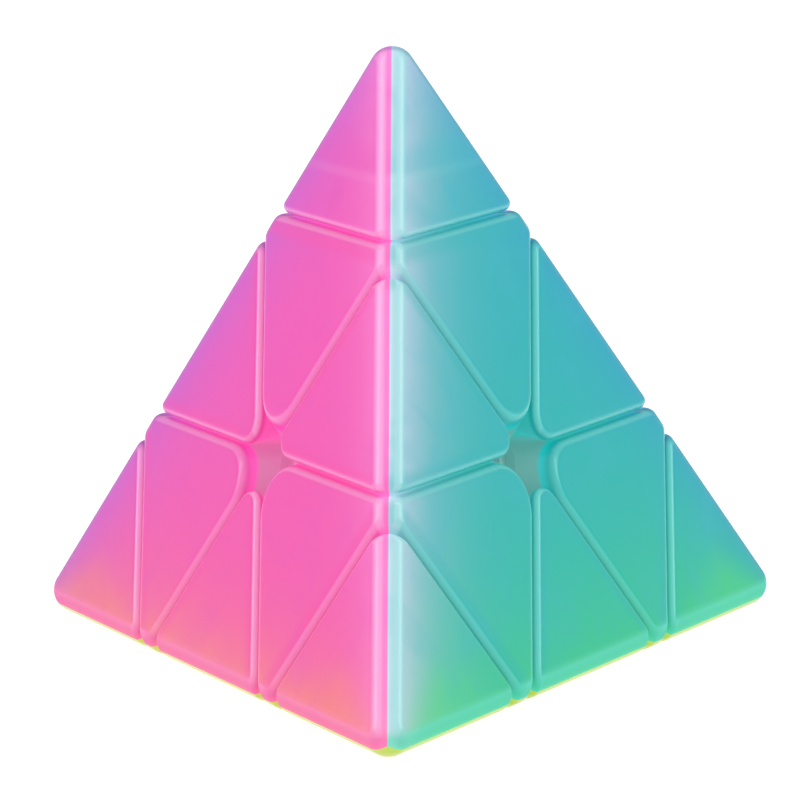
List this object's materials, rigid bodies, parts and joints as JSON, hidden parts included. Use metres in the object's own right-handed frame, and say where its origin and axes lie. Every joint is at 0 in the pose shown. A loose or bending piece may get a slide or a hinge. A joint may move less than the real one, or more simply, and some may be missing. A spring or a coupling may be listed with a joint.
{
  "type": "pyramid twisty puzzle",
  "caption": "Four-sided pyramid twisty puzzle in frosted coloured plastic: four turning layers and four turning corner tips round a screwed core.",
  "frame": {"origin": "centre of the core, where the four turning axes meet", "axes": "+Z out through the top corner, -Z out through the base face, -Y towards the front corner, +X towards the right corner"},
  "size_m": [0.098, 0.0857, 0.0811],
  "materials": {
    "pink_plastic": "frosted satin, translucent",
    "cyan_plastic": "frosted satin, translucent",
    "violet_plastic": "frosted satin, translucent",
    "yellow_plastic": "frosted satin, translucent",
    "milky_plastic": "moulded, milky",
    "steel": "zinc plated"
  },
  "bodies": {
    "core": {"core_spider": "milky_plastic", "tension_screws": "steel", "tension_springs": "steel", "washers": "steel"},
    "centre_top": {"centre_top_cyan": "cyan_plastic", "centre_top_hub": "milky_plastic", "centre_top_pink": "pink_plastic", "centre_top_violet": "violet_plastic"},
    "centre_front": {"centre_front_cyan": "cyan_plastic", "centre_front_hub": "milky_plastic", "centre_front_pink": "pink_plastic", "centre_front_yellow": "yellow_plastic"},
    "centre_left": {"centre_left_hub": "milky_plastic", "centre_left_pink": "pink_plastic", "centre_left_violet": "violet_plastic", "centre_left_yellow": "yellow_plastic"},
    "centre_right": {"centre_right_cyan": "cyan_plastic", "centre_right_hub": "milky_plastic", "centre_right_violet": "violet_plastic", "centre_right_yellow": "yellow_plastic"},
    "edge_front_left": {"edge_front_left_foot": "milky_plastic", "edge_front_left_pink": "pink_plastic", "edge_front_left_yellow": "yellow_plastic"},
    "edge_front_right": {"edge_front_right_cyan": "cyan_plastic", "edge_front_right_foot": "milky_plastic", "edge_front_right_yellow": "yellow_plastic"},
    "edge_left_right": {"edge_left_right_foot": "milky_plastic", "edge_left_right_violet": "violet_plastic", "edge_left_right_yellow": "yellow_plastic"},
    "edge_top_front": {"edge_top_front_cyan": "cyan_plastic", "edge_top_front_foot": "milky_plastic", "edge_top_front_pink": "pink_plastic"},
    "edge_top_left": {"edge_top_left_foot": "milky_plastic", "edge_top_left_pink": "pink_plastic", "edge_top_left_violet": "violet_plastic"},
    "edge_top_right": {"edge_top_right_cyan": "cyan_plastic", "edge_top_right_foot": "milky_plastic", "edge_top_right_violet": "violet_plastic"},
    "tip_top": {"tip_top_cyan": "cyan_plastic", "tip_top_pink": "pink_plastic", "tip_top_stem": "milky_plastic", "tip_top_violet": "violet_plastic"},
    "tip_front": {"tip_front_cyan": "cyan_plastic", "tip_front_pink": "pink_plastic", "tip_front_stem": "milky_plastic", "tip_front_yellow": "yellow_plastic"},
    "tip_left": {"tip_left_pink": "pink_plastic", "tip_left_stem": "milky_plastic", "tip_left_violet": "violet_plastic", "tip_left_yellow": "yellow_plastic"},
    "tip_right": {"tip_right_cyan": "cyan_plastic", "tip_right_stem": "milky_plastic", "tip_right_violet": "violet_plastic", "tip_right_yellow": "yellow_plastic"}
  },
  "joints": [
    {"name": "layer_top", "type": "hinge", "parent": "core", "child": "centre_top", "pos_m": [0, 0, 0], "axis": [0, 0, 1], "range_deg": [-240, 120]},
    {"name": "layer_front", "type": "hinge", "parent": "core", "child": "centre_front", "pos_m": [0, 0, 0], "axis": [0, -0.9428, -0.3333], "range_deg": [-240, 120]},
    {"name": "layer_left", "type": "hinge", "parent": "core", "child": "centre_left", "pos_m": [0, 0, 0], "axis": [-0.8165, 0.4714, -0.3333], "range_deg": [-240, 120]},
    {"name": "layer_right", "type": "hinge", "parent": "core", "child": "centre_right", "pos_m": [0, 0, 0], "axis": [0.8165, 0.4714, -0.3333], "range_deg": [-240, 120]},
    {"name": "tip_turn_top", "type": "hinge", "parent": "centre_top", "child": "tip_top", "pos_m": [0, 0, 0], "axis": [0, 0, 1], "continuous": true},
    {"name": "tip_turn_front", "type": "hinge", "parent": "centre_front", "child": "tip_front", "pos_m": [0, 0, 0], "axis": [0, -0.9428, -0.3333], "continuous": true},
    {"name": "tip_turn_left", "type": "hinge", "parent": "centre_left", "child": "tip_left", "pos_m": [0, 0, 0], "axis": [-0.8165, 0.4714, -0.3333], "continuous": true},
    {"name": "tip_turn_right", "type": "hinge", "parent": "centre_right", "child": "tip_right", "pos_m": [0, 0, 0], "axis": [0.8165, 0.4714, -0.3333], "continuous": true},
    {"name": "carry_top_front", "type": "hinge", "parent": "centre_top", "child": "edge_top_front", "pos_m": [0, 0, 0], "axis": [0, -0.9428, -0.3333], "range_deg": [-240, 120]},
    {"name": "carry_top_right", "type": "hinge", "parent": "centre_top", "child": "edge_top_right", "pos_m": [0, 0, 0], "axis": [0.8165, 0.4714, -0.3333], "range_deg": [-240, 120]},
    {"name": "carry_top_left", "type": "hinge", "parent": "centre_top", "child": "edge_top_left", "pos_m": [0, 0, 0], "axis": [-0.8165, 0.4714, -0.3333], "range_deg": [-240, 120]},
    {"name": "carry_front_right", "type": "hinge", "parent": "centre_front", "child": "edge_front_right", "pos_m": [0, 0, 0], "axis": [0.8165, 0.4714, -0.3333], "range_deg": [-240, 120]},
    {"name": "carry_front_left", "type": "hinge", "parent": "centre_left", "child": "edge_front_left", "pos_m": [0, 0, 0], "axis": [0, -0.9428, -0.3333], "range_deg": [-240, 120]},
    {"name": "carry_left_right", "type": "hinge", "parent": "centre_right", "child": "edge_left_right", "pos_m": [0, 0, 0], "axis": [-0.8165, 0.4714, -0.3333], "range_deg": [-240, 120]}
  ],
  "couplings": [
    {"joint": "carry_top_front", "follows": "layer_front", "ratio": 1},
    {"joint": "carry_top_right", "follows": "layer_right", "ratio": 1},
    {"joint": "carry_top_left", "follows": "layer_left", "ratio": 1},
    {"joint": "carry_front_right", "follows": "layer_right", "ratio": 1},
    {"joint": "carry_front_left", "follows": "layer_front", "ratio": 1},
    {"joint": "carry_left_right", "follows": "layer_left", "ratio": 1}
  ]
}
